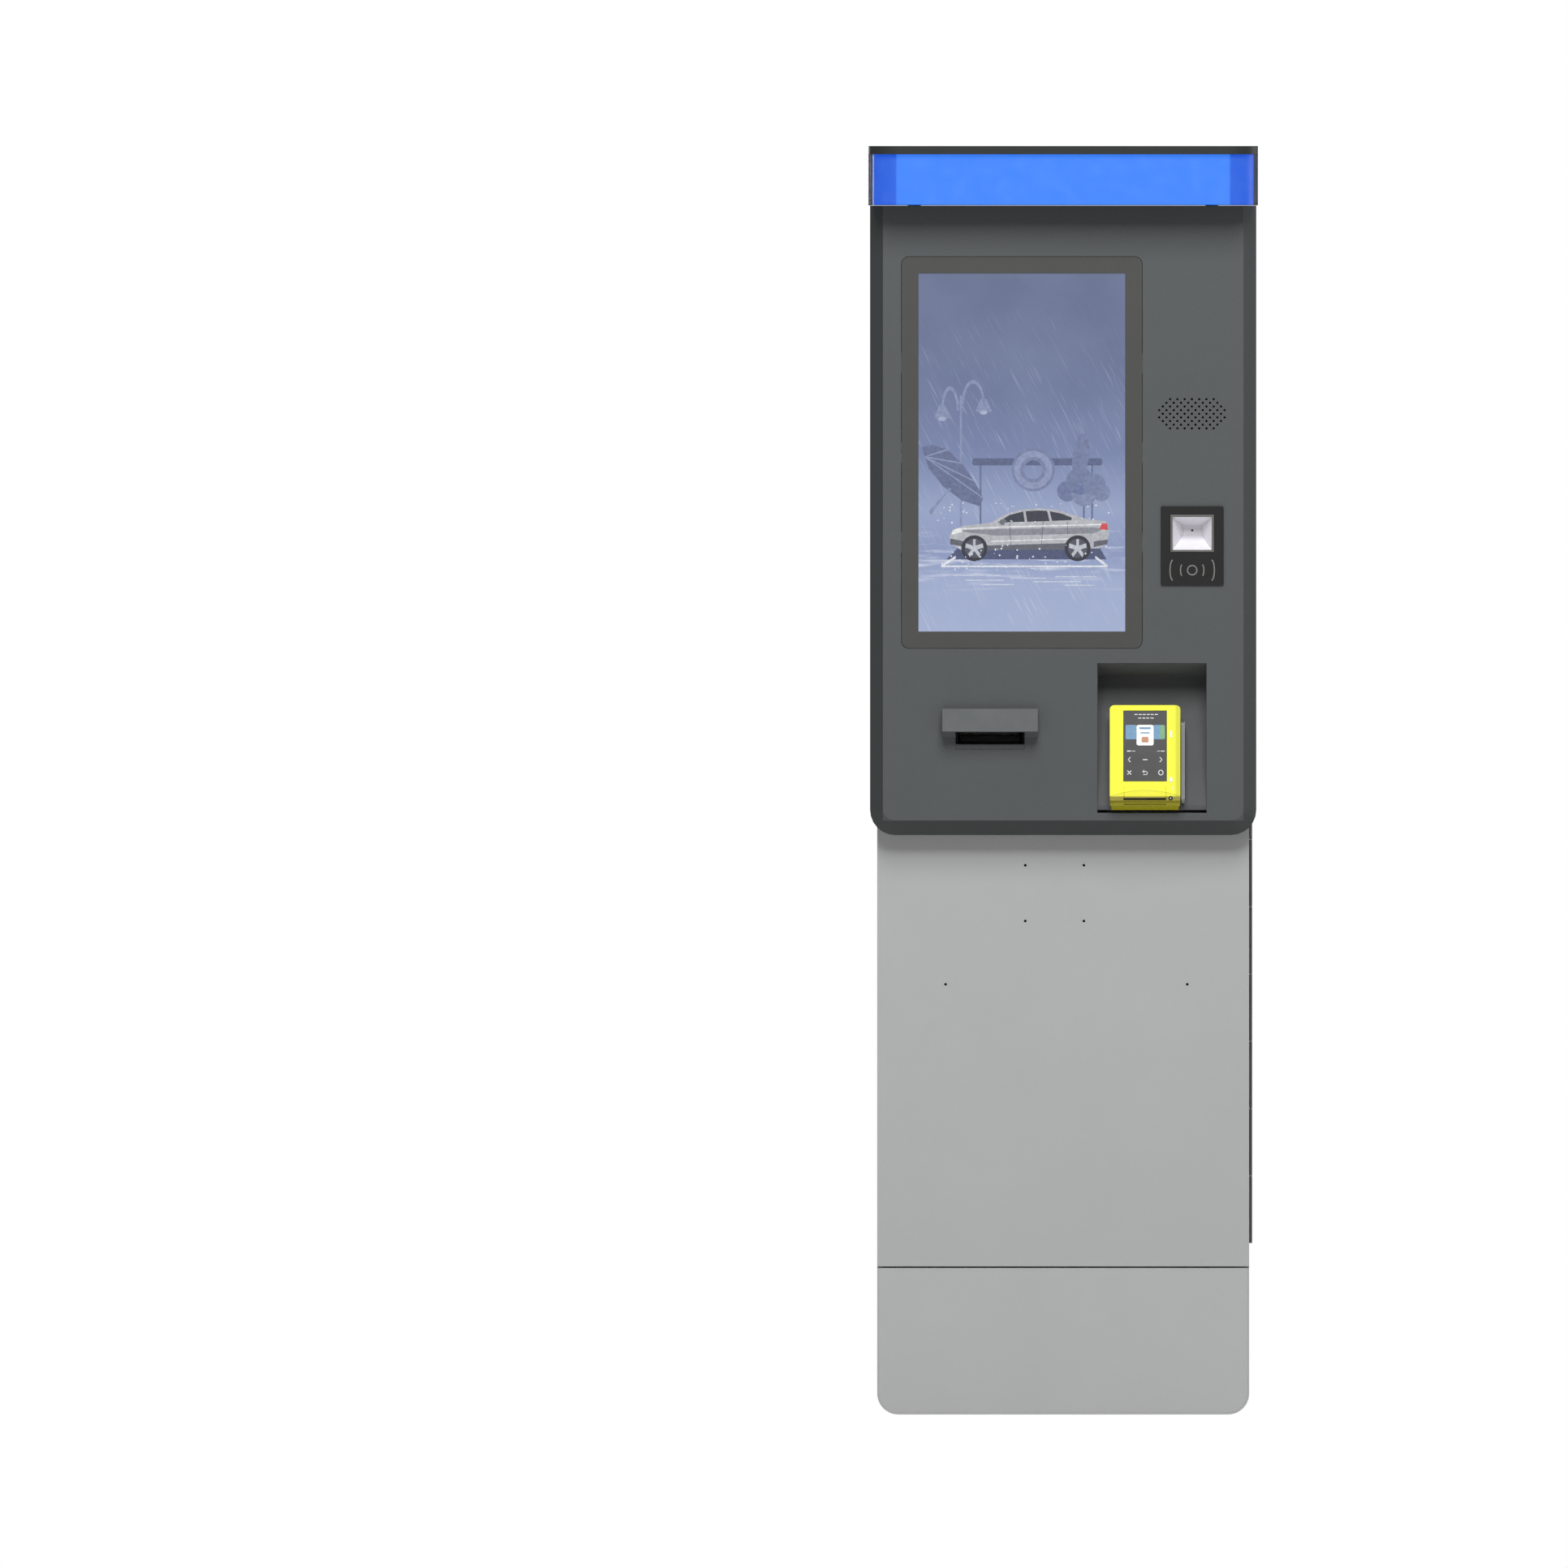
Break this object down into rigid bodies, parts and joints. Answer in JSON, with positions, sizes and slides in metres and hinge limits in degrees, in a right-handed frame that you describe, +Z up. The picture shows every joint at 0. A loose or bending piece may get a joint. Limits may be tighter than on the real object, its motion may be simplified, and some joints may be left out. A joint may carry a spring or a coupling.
{
  "type": "parking pay station",
  "caption": "Outdoor parking payment kiosk: cabinet with hinged front and louvred rear door, lit canopy, display, code scanner, receipt printer and tilted card terminal.",
  "frame": {"origin": "centre of the four floor anchor holes, on the floor", "axes": "+Z up, the user stands at -Y, +X to the right of the user"},
  "size_m": [0.5184, 0.4062, 1.688],
  "materials": {
    "cabinet_paint": "satin powder coat, light grey",
    "dark_paint": "fine textured dark grey powder coat",
    "roof_paint": "satin dark grey",
    "blue_light": "lit translucent blue acrylic",
    "clear_cover": "clear polycarbonate",
    "glass": "display glass",
    "black_plastic": "fine grained black",
    "yellow_plastic": "satin yellow",
    "screen_plastic": "dark screen",
    "lip_plastic": "smoked translucent plastic",
    "white_plastic": "white reflector",
    "steel": "zinc plated steel",
    "seal_rubber": "pale silicone",
    "black_rubber": "matte",
    "paper": "thermal paper",
    "filter_foam": "open foam"
  },
  "bodies": {
    "cabinet": {"base_plate": "steel", "cabinet_shell": "cabinet_paint", "cable_gland": "black_plastic", "canopy_clear_cover": "clear_cover", "canopy_fixings": "steel", "canopy_led_strips": "white_plastic", "canopy_light_band": "blue_light", "canopy_roof": "roof_paint", "canopy_soffit": "roof_paint", "circuit_breaker": "black_plastic", "controller_box": "steel", "din_rail": "steel", "door_frames": "cabinet_paint", "door_seals": "seal_rubber", "equipment_plate": "steel", "hinge_fixed_leaves": "steel", "hinge_pins": "steel", "plinth_plates": "cabinet_paint", "plinth_shelf": "cabinet_paint", "power_supply": "steel", "top_panel": "cabinet_paint"},
    "front_door": {"front_door_pan": "cabinet_paint", "front_hinge_moving_leaf": "steel", "head_panel": "dark_paint", "display_bezel": "black_plastic", "display_glass": "glass", "display_panel": "steel", "display_electronics": "steel", "display_clamps": "steel", "speaker": "black_plastic", "scanner_body": "black_plastic", "scanner_window_frame": "black_plastic", "scanner_reflector": "white_plastic", "scanner_camera": "black_plastic", "receipt_hood": "dark_paint", "printer_frame": "steel", "printer_motor": "steel", "terminal_niche": "dark_paint", "terminal_front": "yellow_plastic", "terminal_lip": "lip_plastic", "terminal_screen": "screen_plastic", "terminal_case": "black_plastic", "terminal_back": "steel", "terminal_rail": "steel"},
    "rear_door": {"rear_door_pan": "cabinet_paint", "rear_hinge_moving_leaf": "steel", "fan_frames": "black_plastic", "fan_guards": "steel", "intake_filter": "filter_foam", "lock_case": "steel", "rod_guides": "black_plastic"},
    "platen": {"platen_roller": "black_rubber"},
    "pinion": {"motor_pinion": "steel"},
    "paper_roll": {"paper_roll": "paper"},
    "toggle": {"breaker_toggle": "white_plastic"},
    "lower_impeller": {"fan_impeller_lower": "black_plastic"},
    "upper_impeller": {"fan_impeller_upper": "black_plastic"},
    "lock_cam": {"lock_cam": "steel"},
    "upper_rod": {"latch_rod_upper": "steel"},
    "lower_rod": {"latch_rod_lower": "steel"}
  },
  "joints": [
    {"name": "front_door_hinge", "type": "hinge", "parent": "cabinet", "child": "front_door", "pos_m": [-0.2447, -0.0967, 0.9], "axis": [0, 0, -1], "range_deg": [0, 95]},
    {"name": "rear_door_hinge", "type": "hinge", "parent": "cabinet", "child": "rear_door", "pos_m": [0.2496, 0.1218, 0.85], "axis": [0, 0, -1], "range_deg": [0, 110]},
    {"name": "lock_turn", "type": "hinge", "parent": "rear_door", "child": "lock_cam", "pos_m": [-0.203, 0.13, 0.85], "axis": [0, -1, 0], "range_deg": [0, 90]},
    {"name": "upper_rod_slide", "type": "slide", "parent": "rear_door", "child": "upper_rod", "axis": [0, 0, 1], "range_m": [0, 0.02]},
    {"name": "lower_rod_slide", "type": "slide", "parent": "rear_door", "child": "lower_rod", "axis": [0, 0, -1], "range_m": [0, 0.02]},
    {"name": "lower_fan_spin", "type": "hinge", "parent": "rear_door", "child": "lower_impeller", "pos_m": [0, 0.13, 1.083], "axis": [0, 1, 0], "continuous": true},
    {"name": "upper_fan_spin", "type": "hinge", "parent": "rear_door", "child": "upper_impeller", "pos_m": [0, 0.13, 1.217], "axis": [0, 1, 0], "continuous": true},
    {"name": "platen_spin", "type": "hinge", "parent": "front_door", "child": "platen", "pos_m": [-0.0973, -0.1681, 0.897], "axis": [1, 0, 0], "continuous": true},
    {"name": "pinion_spin", "type": "hinge", "parent": "front_door", "child": "pinion", "pos_m": [-0.05, -0.1681, 0.87775], "axis": [1, 0, 0], "continuous": true},
    {"name": "paper_roll_spin", "type": "hinge", "parent": "front_door", "child": "paper_roll", "pos_m": [-0.0973, -0.108, 0.895], "axis": [1, 0, 0], "continuous": true},
    {"name": "breaker_toggle_turn", "type": "hinge", "parent": "cabinet", "child": "toggle", "pos_m": [0.06, 0.077, 0.542], "axis": [-1, 0, 0], "range_deg": [0, 45]}
  ],
  "couplings": [
    {"joint": "lock_turn", "follows": "upper_rod_slide", "rad_per_m": 78.54},
    {"joint": "lower_rod_slide", "follows": "upper_rod_slide", "ratio": 1},
    {"joint": "pinion_spin", "follows": "platen_spin", "ratio": -2.8}
  ]
}
